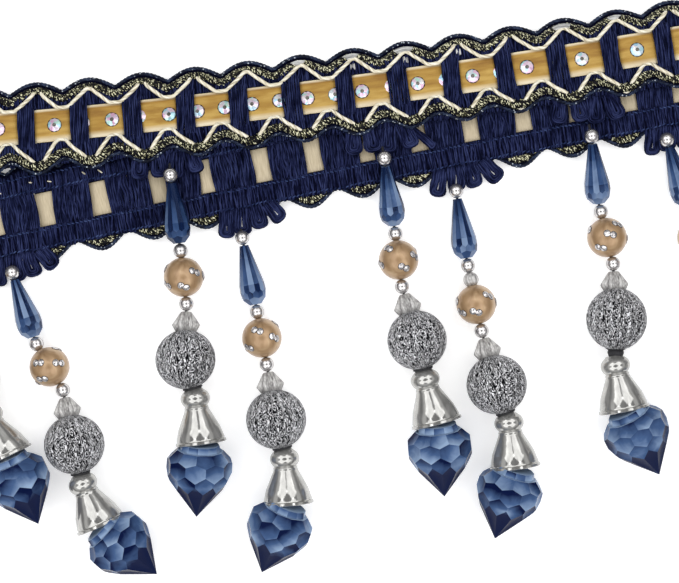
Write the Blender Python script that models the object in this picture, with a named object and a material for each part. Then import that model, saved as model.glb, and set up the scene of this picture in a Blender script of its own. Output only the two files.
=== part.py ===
"""A cut length of beaded tassel fringe trim, folded double and lying flat.

The band is 22 mm wide: two yarn margins with scalloped rims, joined across the middle by binding bars, and a velvet
ribbon that passes behind every narrow bar and in front of every wide one. It comes in from the left face up, turns
back in a loose hairpin fold at the right and goes out to the left again face down, a little lower down the page.
Bead pendants hang from its lower margin every fourth bar, each from a tuft of yarn loops.

Sizes are in millimetres up to the objects, which are in metres. X runs along the band, Y up the page, Z off the
table. The origin is on the underside, at the middle of a narrow bar of the lower run.
"""

import math

import bmesh
import bpy
import numpy as np
from mathutils import Vector

MM = 0.001

# The band, across its width (w, from the ribbon's centre) and through its thickness (t, from its reverse).
PITCH = 13.38  # one bar and one ribbon window
THICKNESS = 3.1
BAR_HALF = 2.1  # a narrow face bar, along the band
INNER_WALL = 4.5
WIDE_BAR_TOP = 0.9  # the wide bars lie on the reverse
NARROW_BAR_LOW = 2.3  # the narrow bars lie on the face
RIBBON_HALF = 4.2
RIBBON_LOW = 1.2
RIBBON_HIGH = 2.0
VALLEY_EDGE = 8.5
PEAK_EDGE = 11.0
TOP_PEAK = 4.4  # from a narrow bar's centre to the next scallop's peak
LOW_PEAK = 2.4

# How it lies.
CUT_X = -101.5
BLEND_X = 90.0  # from here on the runs swing together towards the fold
CREASE_X = 125.7
FOLD_INNER = 2.0
FOLD_MIDDLE = FOLD_INNER + THICKNESS / 2
TURN = math.pi * FOLD_MIDDLE
REST_LIFT = 3.4  # the upper run lies on the lower one
FOLD_LIFT = THICKNESS + 2 * FOLD_INNER
FIRST_BAR_X = -3.75
FIRST_BAR = -7
LAST_BAR = 27

# One bead pendant, from its top silver bead to the crystal drop's point.
SILVER_R = 1.8
TEAR_LENGTH = 15.0
TEAR_R = 3.2
ROUND_R = 4.95
BICONE_R = 3.25
BALL_R = 7.4
NECK_R = 3.7
RIM_R = 6.4
DROP_R = 7.9
TO_TEAR, TO_SECOND, TO_ROUND, TO_THIRD = 2.0, 1.9, 6.6, 6.7
TO_BICONE, TO_BALL, TO_NECK, TO_RIM, TO_POINT = 5.2, 8.6, 10.0, 11.3, 18.6
EXTRA_BEAD = 3.3
TEAR_END_Z = 3.5

# name, run, first silver bead's x and y, then which way each piece heads, in degrees from straight down the page and
# positive to the right: teardrop, round bead, ball, bell's neck, bell, crystal drop. Then any extra length.
Pendant = tuple
PENDANTS = (
    ("a", "upper", -89.1, 0.5, -3.4, -2.6, -3.6, 21.0, 19.0, 16.0, ""),
    ("b", "lower", -78.5, -20.1, 11.5, 23.5, 6.0, 5.0, 17.0, 41.0, ""),
    ("c", "upper", -36.0, -1.0, 0.4, -0.8, -7.3, 7.0, 0.5, -11.0, ""),
    ("d", "lower", -20.3, -18.5, 4.4, 3.6, 3.2, 4.9, -2.5, -28.0, ""),
    ("e", "upper", 17.3, -3.3, 1.6, 0.0, 8.4, 5.0, 8.0, -1.0, ""),
    ("f", "lower", 34.2, -13.4, 1.9, 4.5, 8.1, 11.0, 0.8, -22.5, "bead"),
    ("g", "upper", 69.1, -4.1, 0.8, 5.6, -4.6, -8.1, 4.4, 22.0, "knot"),
    ("h", "lower", 88.1, -7.1, 10.4, 8.6, 7.8, 7.6, 6.9, -1.5, ""),
    ("i", "upper", 121.0, -6.4, 2.0, -1.5, 5.5, 3.0, -4.0, 8.0, ""),
)


def smooth(x):
    x = min(1.0, max(0.0, x))
    return x * x * (3 - 2 * x)


# ---- the band's centre line ----


def upper_y(x):
    return 14.257 - 0.0003 * x + 0.0002517 * x * x


def lower_y(x):
    return 0.025 + 0.0728 * x - 0.0000645 * x * x


LAST_U = 2 * CREASE_X + TURN - CUT_X
BLEND_END = 2 * CREASE_X + TURN - BLEND_X


def centre_y(u):
    """The centre line with the hairpin rolled out flat: u runs along the upper run, through the fold and on along
    the lower run."""
    if u <= BLEND_X:
        return upper_y(u)
    if u >= BLEND_END:
        return lower_y(2 * CREASE_X + TURN - u)
    span = BLEND_END - BLEND_X
    v = (u - BLEND_X) / span
    start, end = upper_y(BLEND_X), lower_y(BLEND_X)
    out = (-0.0003 + 2 * 0.0002517 * BLEND_X) * span
    back = -(0.0728 - 2 * 0.0000645 * BLEND_X) * span
    return (
        (2 * v**3 - 3 * v**2 + 1) * start
        + (v**3 - 2 * v**2 + v) * out
        + (3 * v**2 - 2 * v**3) * end
        + (v**3 - v**2) * back
    )


U_STEPS = np.arange(CUT_X - 20, LAST_U + 20, 0.25)
Y_STEPS = np.array([centre_y(u) for u in U_STEPS])
ARC = np.concatenate(([0.0], np.cumsum(np.hypot(np.diff(U_STEPS), np.diff(Y_STEPS)))))
SLOPES = np.gradient(Y_STEPS, U_STEPS)
FIRST_BAR_S = float(np.interp(FIRST_BAR_X, U_STEPS, ARC))


def bar_s(k):
    return FIRST_BAR_S + PITCH * k


def rolled_out(s, w):
    u = float(np.interp(s, ARC, U_STEPS))
    y = float(np.interp(s, ARC, Y_STEPS))
    slope = float(np.interp(s, ARC, SLOPES))
    n = math.hypot(1, slope)
    return u - w * slope / n, y + w / n


def lift_at(x, y):
    """How high the upper run's reverse is: on the lower run, down to the table beyond its edge, up to the fold."""
    edge = centre_y(2 * CREASE_X + TURN - x) + PEAK_EDGE + 0.3
    lift = REST_LIFT * (1 - smooth((y - edge) / 12)) * smooth((x + 127) / 40)
    fold = smooth((x - 85) / (CREASE_X - 85))
    return lift + (FOLD_LIFT - lift) * fold


def lift_of(s, w):
    if abs(w) < INNER_WALL:
        part = (w + INNER_WALL) / (2 * INNER_WALL)
        return (1 - part) * lift_of(s, -INNER_WALL) + part * lift_of(s, INNER_WALL)
    return lift_at(*rolled_out(s, w))


def place(s, w, t):
    """A point of the band, s along it, w up the page from its centre and t up from its reverse, as it lies."""
    u, y = rolled_out(s, w)
    past = u - CREASE_X
    if past <= 0:
        return Vector((u, y, lift_of(s, w) + t))
    if past >= TURN:
        return Vector((2 * CREASE_X + TURN - u, y, THICKNESS - t))
    turned = past / FOLD_MIDDLE
    r = FOLD_INNER + t
    return Vector(
        (
            CREASE_X + r * math.sin(turned),
            y,
            THICKNESS + FOLD_INNER + r * math.cos(turned),
        )
    )


# ---- scalloped rims ----


def rim(s, side):
    """Half width of the band: round scallops with cusps between them above, a soft wave below."""
    if side > 0:
        wave = abs(math.cos(math.pi * (s - FIRST_BAR_S - TOP_PEAK) / PITCH))
    else:
        wave = (
            0.5 + 0.5 * math.cos(2 * math.pi * (s - FIRST_BAR_S - LOW_PEAK) / PITCH)
        )
    return VALLEY_EDGE + (PEAK_EDGE - VALLEY_EDGE) * wave


def stations():
    """Rows across the band: s at the inner wall, s at the upper and at the lower rim, and whether the stretch up to
    the next row is in a narrow bar."""
    inner = (-BAR_HALF, 0.0, BAR_HALF, 4.4, 6.7, 9.0)
    outer = (-4.45, -2.2, 0.0, 2.2, 4.45, 6.68)
    start, end = bar_s(FIRST_BAR) - 4.1, bar_s(LAST_BAR) + 8.4
    rows = [(start, start, start, False)]
    for k in range(FIRST_BAR, LAST_BAR + 1):
        for i, (near, far) in enumerate(zip(inner, outer)):
            row = (
                bar_s(k) + near,
                bar_s(k) + TOP_PEAK + far,
                bar_s(k) + LOW_PEAK + far,
                i < 2,
            )
            if row[1] < end - 1.0:
                rows.append(row)
    rows.append((end, end, end, False))
    fold_from = float(np.interp(CREASE_X - 3, U_STEPS, ARC))
    fold_to = float(np.interp(CREASE_X + TURN + 3, U_STEPS, ARC))
    fine = []
    for a, b in zip(rows, rows[1:]):
        fine.append(a)
        if b[0] > fold_from and a[0] < fold_to:
            fine.append(tuple((p + q) / 2 for p, q in zip(a[:3], b[:3])) + (a[3],))
    fine.append(rows[-1])
    return fine


ROWS = stations()
LOW_RIM_S = [row[2] for row in ROWS]
LOW_RIM_W = [rim(s, -1) for s in LOW_RIM_S]


# ---- making objects ----


def material(name, colour, roughness, metallic=0.0, transmission=0.0):
    made = bpy.data.materials.new(name)
    made.use_nodes = True
    shader = made.node_tree.nodes["Principled BSDF"]
    shader.inputs["Base Color"].default_value = (*colour, 1.0)
    shader.inputs["Roughness"].default_value = roughness
    shader.inputs["Metallic"].default_value = metallic
    shader.inputs["Transmission Weight"].default_value = transmission
    made.diffuse_color = (*colour, 1.0)
    return made


def add_object(name, points, faces, surface, round_shape=False):
    mesh = bpy.data.meshes.new(name)
    build = bmesh.new()
    corners = [build.verts.new(Vector(p) * MM) for p in points]
    for face in faces:
        build.faces.new([corners[i] for i in face])
    bmesh.ops.recalc_face_normals(build, faces=build.faces)
    build.to_mesh(mesh)
    build.free()
    mesh.materials.append(surface)
    if round_shape:
        mesh.shade_smooth()
        mesh.set_sharp_from_angle(angle=math.radians(50))
    made = bpy.data.objects.new(name, mesh)
    bpy.context.scene.collection.objects.link(made)
    return made


# ---- the woven ground ----

WALL_LEVELS = (0.0, WIDE_BAR_TOP, NARROW_BAR_LOW, THICKNESS)
SECTION = 7


def section_of(row, side):
    """A margin's cross-section: four levels up the inner wall, the foot of the rim's ridge, its crest, the edge."""
    near = row[0]
    far = row[1] if side > 0 else row[2]
    edge = rim(far, side)
    points = [place(near, side * INNER_WALL, t) for t in WALL_LEVELS]
    points.append(place(near + 0.7 * (far - near), side * (edge - 2.9), 1.9))
    points.append(place(far, side * (edge - 1.2), 2.6))
    points.append(place(far, side * edge, 0.7))
    return points


def ground(surface):
    points, faces = [], []
    for row in ROWS:
        points += section_of(row, 1) + section_of(row, -1)

    def at(i, side, j):
        return (2 * i + (side < 0)) * SECTION + j

    low, high = (0, 1), (2, 3)
    last = len(ROWS) - 1
    for i in range(last):
        bar = high if ROWS[i][3] else low
        for side in (1, -1):
            for j in range(SECTION):
                k = (j + 1) % SECTION
                if (j, k) != bar:
                    faces.append(
                        (
                            at(i, side, j),
                            at(i + 1, side, j),
                            at(i + 1, side, k),
                            at(i, side, k),
                        )
                    )
        for j in bar:
            faces.append((at(i, 1, j), at(i + 1, 1, j), at(i + 1, -1, j), at(i, -1, j)))
    for i in range(last + 1):
        before = None if i == 0 else (high if ROWS[i - 1][3] else low)
        after = None if i == last else (high if ROWS[i][3] else low)
        if before != after:
            for bar in (before, after):
                if bar:
                    a, b = bar
                    faces.append((at(i, 1, a), at(i, 1, b), at(i, -1, b), at(i, -1, a)))
    for i in (0, last):
        for side in (1, -1):
            faces.append(tuple(at(i, side, j) for j in range(SECTION)))
    return add_object("braid_ground", points, faces, surface)


def ribbon(surface):
    points, faces = [], []
    kept = [
        row
        for i, row in enumerate(ROWS)
        if i in (0, len(ROWS) - 1)
        or row[3] != ROWS[i - 1][3]
        or abs(float(np.interp(row[0], ARC, U_STEPS)) - CREASE_X - TURN / 2) < 12
    ]
    for row in kept:
        for w, t in (
            (-RIBBON_HALF, RIBBON_LOW),
            (RIBBON_HALF, RIBBON_LOW),
            (RIBBON_HALF, RIBBON_HIGH),
            (-RIBBON_HALF, RIBBON_HIGH),
        ):
            points.append(place(row[0], w, t))
    for i in range(len(kept) - 1):
        for j in range(4):
            k = (j + 1) % 4
            faces.append((4 * i + j, 4 * i + 4 + j, 4 * i + 4 + k, 4 * i + k))
    end = 4 * (len(kept) - 1)
    faces += [(0, 1, 2, 3), (end, end + 1, end + 2, end + 3)]
    return add_object("velvet_ribbon", points, faces, surface)


# ---- loop tufts ----

TUFT_LEFT, TUFT_RIGHT = -5.8, 9.0
TUFT_THICK = 1.6
# Each yarn petal: where it leaves the header, which way it leans (degrees, positive to the right) and its length.
PETALS = (
    (-3.9, -16, 4.4),
    (-0.9, -2, 5.2),
    (2.1, 12, 6.4),
    (5.0, 28, 6.6),
    (7.4, 42, 5.2),
)
PETAL_HALF = 1.45


def tuft(name, run, root_x, surface):
    """Yarn loops fused to a header that follows the lower rim, 0.35 mm off it."""
    upper = run == "upper"
    forward = 1 if upper else -1
    u = root_x if upper else 2 * CREASE_X + TURN - root_x
    middle = float(np.interp(u, U_STEPS, ARC))
    ends = sorted((middle + forward * TUFT_LEFT, middle + forward * TUFT_RIGHT))
    along = [ends[0]] + [s for s in LOW_RIM_S if ends[0] + 0.4 < s < ends[1] - 0.4]
    along.append(ends[1])
    if not upper:
        along.reverse()
    top = [(s, -(float(np.interp(s, LOW_RIM_S, LOW_RIM_W)) + 0.35)) for s in along]
    outline = list(top)
    base = PEAK_EDGE + 1.4
    outline.append((middle + forward * TUFT_RIGHT, -base))
    for i, (root, lean, length) in enumerate(reversed(PETALS)):
        lean = math.radians(lean)
        across, down = (math.cos(lean), math.sin(lean)), (math.sin(lean), -math.cos(lean))
        for side, reach in ((1, 0.75), (0.45, 1.0), (-0.45, 1.0), (-1, 0.75)):
            a = root + across[0] * side * PETAL_HALF + down[0] * length * reach
            b = across[1] * side * PETAL_HALF + down[1] * length * reach
            outline.append((middle + forward * a, b - base))
        if i + 1 < len(PETALS):
            gap = (root + PETALS[len(PETALS) - 2 - i][0]) / 2
            outline.append((middle + forward * gap, -base - 0.7))
    outline.append((middle + forward * TUFT_LEFT, -base))
    low = 0.0 if not upper else REST_LIFT
    droop = 0.0
    if upper and root_x > 100:
        low, droop = lift_at(root_x, centre_y(root_x) - PEAK_EDGE) - 0.3, -0.45
    points, faces = [], []
    for level in (0.0, TUFT_THICK):
        for s, w in outline:
            spot = place(s, w, 0)
            points.append(Vector((spot.x, spot.y, low + level + droop * (-w - VALLEY_EDGE))))
    count = len(outline)
    faces.append(tuple(range(count)))
    faces.append(tuple(range(count, 2 * count)))
    for i in range(count):
        j = (i + 1) % count
        faces.append((i, j, count + j, count + i))
    return add_object(name, points, faces, surface)


# ---- beads ----


def heading(degrees, fall=0.0):
    """Direction down the page, turned to the right, with fall mm of height lost per mm."""
    a = math.radians(degrees)
    return Vector((math.sin(a), -math.cos(a), -fall))


def rings_body(name, rings, sides, surface, pointed=False):
    """A body skinned over rings (centre, axis, radius). All axes lie nearly flat, so each ring starts at its top."""
    points, faces = [], []
    size = 1 / math.sqrt(math.cos(math.pi / sides))  # a flat-sided ring as large as the round one
    for centre, axis, radius in rings:
        radius *= size
        axis = axis.normalized()
        side = axis.cross(Vector((0, 0, 1))).normalized()
        up = side.cross(axis)
        for i in range(sides):
            a = 2 * math.pi * (i + 0.5) / sides
            points.append(centre + side * (radius * math.sin(a)) + up * (radius * math.cos(a)))
    for r in range(len(rings) - 1):
        for i in range(sides):
            j = (i + 1) % sides
            faces.append((r * sides + i, r * sides + j, (r + 1) * sides + j, (r + 1) * sides + i))
    faces.append(tuple(range(sides)))
    last = (len(rings) - 1) * sides
    if pointed:
        centre, axis, radius = rings[-1]
        points.append(centre + axis.normalized() * 0.8)
        for i in range(sides):
            faces.append((last + i, last + (i + 1) % sides, len(points) - 1))
    else:
        faces.append(tuple(last + i for i in range(sides)))
    return add_object(name, points, faces, surface, round_shape=True)


def turned(centre, axis, profile):
    """Rings along an axis through centre, from (distance, radius) pairs."""
    axis = axis.normalized()
    return [(centre + axis * d, axis, r) for d, r in profile]


def pendant(row, looks):
    name, run, x, y, tear, bead, ball, neck, bell, drop, extra = row
    first_z = TUFT_THICK + 0.3 + SILVER_R + (REST_LIFT if run == "upper" else 0.0)
    if x > 100:
        first_z = 6.2
    # How much of an upper teardrop lies on the lower run, which holds its lower end up.
    lies_on = (y - TO_TEAR - lower_y(x) + PEAK_EDGE) / TEAR_LENGTH if run == "upper" else 0.0
    held_up = smooth((lies_on - 0.3) / 0.6)
    end_z = TEAR_END_Z + 3.3 * held_up
    fall = (first_z - end_z) / (TO_TEAR + TEAR_LENGTH)
    way = heading(tear, fall)
    first = Vector((x, y, first_z))
    tear_top = first + way * TO_TEAR
    tear_end = tear_top + way * TEAR_LENGTH
    way = heading((tear + bead) / 2)
    second = tear_end + way * TO_SECOND
    second.z = 4.2 + 1.9 * held_up
    rings = turned(first, heading(tear, fall), ((-1.6, 0.7), (-0.75, 1.65), (0.75, 1.65), (1.7, 0.6)))
    rings += turned(
        tear_top,
        heading(tear, fall),
        ((0.6, 1.0), (5.6, 1.9), (11.4, TEAR_R), (13.8, 2.3), (15.0, 0.8)),
    )
    rings += turned(second, way, ((-0.75, 1.65), (0.75, 1.65), (1.55, 0.7)))
    rings_body(f"teardrop_{name}", rings, 6, looks["acrylic"])

    way = heading(bead)
    to_round = TO_ROUND + (EXTRA_BEAD if extra == "bead" else 0.0)
    round_bead = second + way * to_round
    round_bead.z = ROUND_R + 0.05
    third = round_bead + way * TO_THIRD
    third.z = 5.4
    profile = [(-4.65, 1.5), (-3.1, 3.8), (0.0, ROUND_R), (3.1, 3.8), (4.65, 1.5)]
    if extra == "bead":
        profile = [(-4.65 - EXTRA_BEAD, 0.8), (-3.3 - EXTRA_BEAD, 2.0), (-1.9 - EXTRA_BEAD, 2.0), (-4.6, 1.2)] + profile[1:]
    rings_body(f"round_bead_{name}", turned(round_bead, third - second, profile), 10, looks["satin"])

    way = heading(ball)
    bicone = third + way * TO_BICONE
    ball_at = bicone + way * TO_BALL
    ball_at.z = BALL_R + 0.05
    bicone.z = 6.0
    knot = 1.6 if extra == "knot" else 0.0
    neck_at = ball_at + heading(neck) * (TO_NECK + knot)
    neck_at.z = 7.0
    rings = turned(third, bicone - third, ((-1.55, 0.7), (0.0, SILVER_R), (1.6, 0.9)))
    rings += turned(bicone, ball_at - third, ((-3.0, 1.3), (0.0, BICONE_R), (1.3, 2.4)))
    rings += turned(ball_at, neck_at - third, ((-6.2, 3.9), (-2.4, 7.0), (2.4, 7.0), (6.2, 3.9), (7.2 + knot, 1.8)))
    rings_body(f"ball_{name}", rings, 10, looks["glitter"])

    rim_at = neck_at + heading(bell) * TO_RIM
    rim_at.z = RIM_R + 0.6
    profile = (
        (-2.2 - TO_RIM, 2.2),
        (-0.3 - TO_RIM, NECK_R),
        (2.2 - TO_RIM, 3.0),
        (-0.9, 6.0),
        (0.0, RIM_R),
        (-0.1, 5.7),
        (-4.0, 4.4),
    )
    rings_body(f"bell_{name}", turned(rim_at, rim_at - neck_at, profile), 10, looks["chrome"])

    point = rim_at + heading(drop) * TO_POINT
    girdle = rim_at + heading(drop) * 6.2
    girdle.z = DROP_R + 0.1
    point.z = 5.6
    way = (point - girdle).normalized()
    profile = ((-5.0, 4.2), (-4.0, 4.5), (-1.5, 7.3), (0.9, DROP_R), (6.6, 5.0), (11.7, 0.7))
    rings_body(f"crystal_drop_{name}", turned(girdle, way, profile), 8, looks["crystal"], pointed=True)


def main():
    for old in list(bpy.data.objects):
        bpy.data.objects.remove(old, do_unlink=True)
    navy = material("navy yarn", (0.012, 0.022, 0.075), 0.85)
    velvet = material("gold velvet", (0.52, 0.34, 0.09), 0.75)
    looks = {
        "acrylic": material("sapphire acrylic", (0.03, 0.11, 0.30), 0.08, transmission=0.5),
        "satin": material("satin bronze", (0.42, 0.25, 0.13), 0.38),
        "glitter": material("silver glitter", (0.30, 0.30, 0.31), 0.35, metallic=0.7),
        "chrome": material("plated chrome", (0.80, 0.79, 0.77), 0.12, metallic=1.0),
        "crystal": material("faceted sapphire acrylic", (0.02, 0.08, 0.26), 0.05, transmission=0.6),
    }
    ground(navy)
    ribbon(velvet)
    for row in PENDANTS:
        tuft(f"loop_tuft_{row[0]}", row[1], row[2], navy)
        pendant(row, looks)


main()
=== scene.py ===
"""Beaded tassel fringe trim, folded double: yarns, cords, velvet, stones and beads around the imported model.

Lengths are in mm until a mesh is made. The band is built flat, in s (along), w (across, from the ribbon's centre) and
t (up from its reverse). place() lays it out: an upper run face up, a fold, a lower run reverse up. Side 1 is w > 0.
"""

from math import asin, atan2, ceil, cos, hypot, pi, radians, sin, sqrt

import bmesh
import bpy
import numpy as np
from mathutils import Matrix, Vector


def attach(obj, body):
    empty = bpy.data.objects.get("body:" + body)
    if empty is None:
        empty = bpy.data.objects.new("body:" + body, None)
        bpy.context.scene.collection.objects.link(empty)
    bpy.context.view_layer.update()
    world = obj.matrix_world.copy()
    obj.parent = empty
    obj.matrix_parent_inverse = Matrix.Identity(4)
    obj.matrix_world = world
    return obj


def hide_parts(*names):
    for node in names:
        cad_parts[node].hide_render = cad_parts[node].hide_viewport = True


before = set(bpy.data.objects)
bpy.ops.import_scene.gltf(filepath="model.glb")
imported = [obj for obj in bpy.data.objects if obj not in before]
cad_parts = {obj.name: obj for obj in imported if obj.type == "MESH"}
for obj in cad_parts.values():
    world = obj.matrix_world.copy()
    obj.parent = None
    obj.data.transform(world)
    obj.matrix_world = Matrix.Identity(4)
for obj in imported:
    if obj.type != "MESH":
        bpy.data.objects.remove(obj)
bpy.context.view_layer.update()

MM = 0.001
TAU = 2 * pi
UP = (0.0, 0.0, 1.0)
rng = np.random.default_rng(11)

# ---- the band, as the solids have it

PITCH = 13.38  # from one narrow bar to the next
THICKNESS = 3.1
BAR_HALF = 2.1
INNER_WALL = 4.5  # where the margins begin
RIBBON_HALF = 4.2
VALLEY_EDGE, PEAK_EDGE = 8.5, 11.0  # the scalloped rim at its nearest and furthest
TOP_PEAK, LOW_PEAK = 2.9, 2.4  # from a bar along to the scallop's peak, for side 1 and side -1
UPPER_LINE = np.poly1d((0.0002517, -0.0003, 14.257))  # y of a run's middle line at x
LOWER_LINE = np.poly1d((-0.0000645, 0.0728, 0.025))
CUT_X, BLEND_X, CREASE_X = -101.5, 90.0, 125.7  # the cut ends, where the runs begin to draw together, the fold
FOLD_INNER = 2.0
FOLD_MIDDLE = FOLD_INNER + THICKNESS / 2
TURN = pi * FOLD_MIDDLE
RETURN_U = 2 * CREASE_X + TURN  # on the lower run, u is this less x
BLEND_END = RETURN_U - BLEND_X
FIRST_BAR_X = -3.75  # bar 0
FIRST_BAR, LAST_BAR = -7, 27
BARS = range(FIRST_BAR, LAST_BAR + 1)
PAST_FIRST, PAST_LAST = 4.1, 8.4  # from the outermost bars to the cuts

# The upper run lies on the lower one, falls beyond its edge and toward the cut, and rises to the fold.
REST_LIFT = 3.4
FOLD_LIFT = THICKNESS + 2 * FOLD_INNER
EDGE_PLAY, EDGE_FALL = 0.3, 12.0
CUT_FALL_X, CUT_FALL = -127.0, 40.0
RISE_X = 85.0

# Beads: radii and lengths, and how far one stands from the one before it on the string.
TUFT_THICK = 1.6
SILVER_R, ROUND_R, BALL_R, NECK_R, RIM_R, DROP_R = 1.8, 4.95, 7.4, 3.7, 6.4, 7.9
TEAR_LENGTH, TEAR_END_Z = 15.0, 3.5
TO_TEAR, TO_SECOND, TO_ROUND, TO_THIRD = 2.0, 1.9, 6.6, 6.7
TO_BICONE, TO_BALL, TO_NECK, TO_RIM, TO_GIRDLE, TO_POINT = 5.2, 8.6, 10.0, 11.3, 6.2, 18.6
TO_EXTRA_BEAD, EXTRA_BEAD, EXTRA_KNOT = 3.6, 3.3, 1.6
# Heights at which they lie, and how much higher the lower run holds the teardrop's end and the second silver bead.
BY_FOLD_Z, SECOND_Z, THIRD_Z, BICONE_Z, NECK_Z, POINT_Z = 6.2, 4.2, 5.4, 6.0, 7.0, 5.6
TEAR_HELD, SECOND_HELD = 3.3, 1.9


def stray(spread):
    """A random distance about nought."""
    return rng.normal(0, spread)


def smooth(x):
    x = np.clip(x, 0.0, 1.0)
    return x * x * (3 - 2 * x)


def columns(*parts):
    """Numbers or arrays side by side, as a last axis."""
    return np.stack(np.broadcast_arrays(*parts), axis=-1)


def run_length(x, y):
    """How far each point is along the line through them."""
    return np.append(0.0, np.cumsum(np.hypot(np.diff(x), np.diff(y))))


def centre_y(u):
    """y of the middle line at u, which is x on the upper run and goes on along the lower one."""
    u = np.asarray(u, float)
    span = BLEND_END - BLEND_X
    v = (u - BLEND_X) / span
    blend = (
        (2 * v**3 - 3 * v**2 + 1) * UPPER_LINE(BLEND_X)
        + (v**3 - 2 * v**2 + v) * UPPER_LINE.deriv()(BLEND_X) * span
        + (3 * v**2 - 2 * v**3) * LOWER_LINE(BLEND_X)
        - (v**3 - v**2) * LOWER_LINE.deriv()(BLEND_X) * span
    )
    lower = LOWER_LINE(RETURN_U - u)
    return np.where(u <= BLEND_X, UPPER_LINE(u), np.where(u >= BLEND_END, lower, blend))


U_STEPS = np.arange(CUT_X - 20, RETURN_U - CUT_X + 20, 0.25)
Y_STEPS = centre_y(U_STEPS)
ARC = run_length(U_STEPS, Y_STEPS)
SLOPES = np.gradient(Y_STEPS, U_STEPS)


def s_at(u):
    return float(np.interp(u, U_STEPS, ARC))


FIRST_BAR_S = s_at(FIRST_BAR_X)
BLEND_S, BLEND_END_S = s_at(BLEND_X), s_at(BLEND_END)


def bar_s(k):
    return FIRST_BAR_S + PITCH * k


START_S = bar_s(FIRST_BAR) - PAST_FIRST
END_S = bar_s(LAST_BAR) + PAST_LAST


def from_bar(s):
    """How far s is past the middle of the nearest narrow bar."""
    return (s - FIRST_BAR_S + PITCH / 2) % PITCH - PITCH / 2


def rolled_out(s, w):
    """u and y of a point, the band not folded over."""
    u, y = np.interp(s, ARC, U_STEPS), np.interp(s, ARC, Y_STEPS)
    slope = np.interp(s, ARC, SLOPES)
    n = np.hypot(1, slope)
    return u - w * slope / n, y + w / n


def lift_at(x, y):
    edge = centre_y(RETURN_U - x) + PEAK_EDGE + EDGE_PLAY
    lift = REST_LIFT * (1 - smooth((y - edge) / EDGE_FALL)) * smooth((x - CUT_FALL_X) / CUT_FALL)
    return lift + (FOLD_LIFT - lift) * smooth((x - RISE_X) / (CREASE_X - RISE_X))


def lift_of(s, w):
    """As lift_at, but straight across the ribbon."""
    part = (w + INNER_WALL) / (2 * INNER_WALL)
    low, high = (lift_at(*rolled_out(s, np.full_like(s, edge))) for edge in (-INNER_WALL, INNER_WALL))
    return np.where(np.abs(w) < INNER_WALL, (1 - part) * low + part * high, lift_at(*rolled_out(s, w)))


def place(points):
    """Points (..., 3) of the flat band in s, w, t as they lie, in mm."""
    s, w, t = (np.asarray(points[..., i], float) for i in range(3))
    u, y = rolled_out(s, w)
    past = u - CREASE_X
    turned = np.clip(past, 0, TURN) / FOLD_MIDDLE
    r = FOLD_INNER + t
    x = np.where(past <= 0, u, np.where(past >= TURN, RETURN_U - u, CREASE_X + r * np.sin(turned)))
    folding = np.where(past >= TURN, THICKNESS - t, THICKNESS + FOLD_INNER + r * np.cos(turned))
    return columns(x, y, np.where(past <= 0, lift_of(s, w) + t, folding))


# How much further a slack margin reaches: at the upper run's cut end, on the lower run, and at the other cut end.
FACE_SLACK, FACE_SLACK_LENGTH = 1.4, 110.0
BACK_SLACK = 1.8
END_SLACK, END_SLACK_LENGTH = 2.7, 80.0


def slack(s, side):
    if side > 0:
        return END_SLACK * smooth((s - END_S + END_SLACK_LENGTH) / END_SLACK_LENGTH)
    cut_end = FACE_SLACK * (1 - smooth((s - START_S) / FACE_SLACK_LENGTH))
    return cut_end + BACK_SLACK * smooth((s - BLEND_S) / (BLEND_END_S - BLEND_S))


def strip_end(s):
    """Where the plain woven strip behind the lower scallops ends."""
    return 9.95 + 0.12 * np.sin(s * 0.9) + 0.08 * np.sin(s * 2.3)


def rim(s, side, soft=0.04):
    """Half width: round scallops with cusps between them on side 1, a soft wave on side -1."""
    extra = slack(s, side)
    depth = PEAK_EDGE - VALLEY_EDGE
    if side > 0:
        c = np.cos(np.pi * (s - FIRST_BAR_S - TOP_PEAK) / PITCH)
        wave = (np.sqrt(c * c + soft * soft) - soft) / (sqrt(1 + soft * soft) - soft)
        return VALLEY_EDGE + depth * wave + extra
    wave = (0.5 + 0.5 * np.cos(TAU * (s - FIRST_BAR_S - LOW_PEAK) / PITCH)) ** (1 - 0.13 * extra)
    return VALLEY_EDGE + 0.6 * extra + (depth + 0.5 * extra) * wave


# ---- making meshes


def put(name, data, at=(0, 0, 0), rotation=(0, 0, 0)):
    """A new object in the scene, at in metres."""
    made = bpy.data.objects.new(name, data)
    made.location, made.rotation_euler = at, rotation
    bpy.context.scene.collection.objects.link(made)
    return made


def make_object(name, points, faces, surfaces, uv=None, flat=False, indices=None):
    """points (n, 3) are in mm, faces a list of (k, size) arrays, uv a matching list of (k, size, 2)."""
    mesh = bpy.data.meshes.new(name)
    mesh.from_pydata(np.asarray(points) * MM, [], [face for group in faces for face in group.tolist()])
    mesh.polygons.foreach_set("use_smooth", [not flat] * len(mesh.polygons))
    if indices is not None:
        mesh.polygons.foreach_set("material_index", np.asarray(indices, np.int32))
    if uv is not None:
        flat_uv = np.concatenate([u.ravel() for u in uv]).astype(np.float32)
        mesh.uv_layers.new(name="UVMap").data.foreach_set("uv", flat_uv)
    mesh.validate()
    for surface in surfaces if isinstance(surfaces, list) else [surfaces]:
        mesh.materials.append(surface)
    return put(name, mesh)


def unit(v):
    return v / (np.linalg.norm(v, axis=-1, keepdims=True) + 1e-9)


def ring_faces(n, k):
    """Quads between n rings of k points, and the two end caps."""
    i, j = np.meshgrid(np.arange(n - 1), np.arange(k), indexing="ij")
    after = (j + 1) % k
    quads = columns(i * k + j, i * k + after, (i + 1) * k + after, (i + 1) * k + j).reshape(-1, 4)
    return quads, np.stack([np.arange(k)[::-1], (n - 1) * k + np.arange(k)])


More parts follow.
